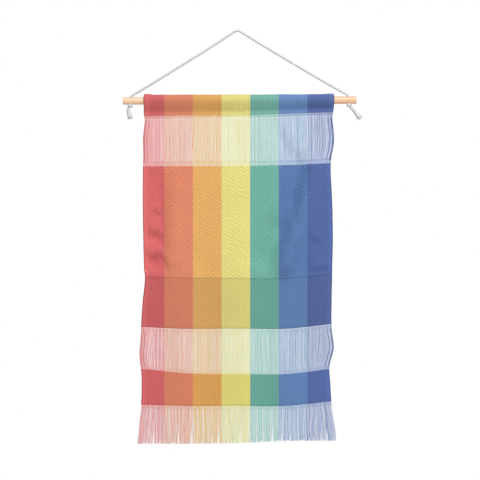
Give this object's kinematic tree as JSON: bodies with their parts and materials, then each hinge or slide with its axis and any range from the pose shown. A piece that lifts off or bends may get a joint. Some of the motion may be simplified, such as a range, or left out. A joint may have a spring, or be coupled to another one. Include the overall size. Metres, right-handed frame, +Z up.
{
  "type": "textile wall hanging on a wooden rod",
  "caption": "Striped cloth wall hanging with open warp bands and a cut fringe, on a wooden rod hung by a knotted cord.",
  "frame": {"origin": "the top of the nail that the cord hangs from, inside the cord's apex", "axes": "+Z up, +X to the right as seen from the front, the printed front faces -Y and the wall is at +Y"},
  "size_m": [0.4057, 0.0194, 0.705],
  "materials": {
    "pale_wood": "smooth bare dowel",
    "striped_cloth": "matte woven",
    "fringe_yarn": "matte loose warp",
    "white_cord": "matte twisted cotton"
  },
  "bodies": {
    "root": {"rod": "pale_wood", "cloth": "striped_cloth", "fringe": "fringe_yarn", "hanger_cord": "white_cord", "knot_left": "white_cord", "knot_right": "white_cord"}
  },
  "joints": []
}
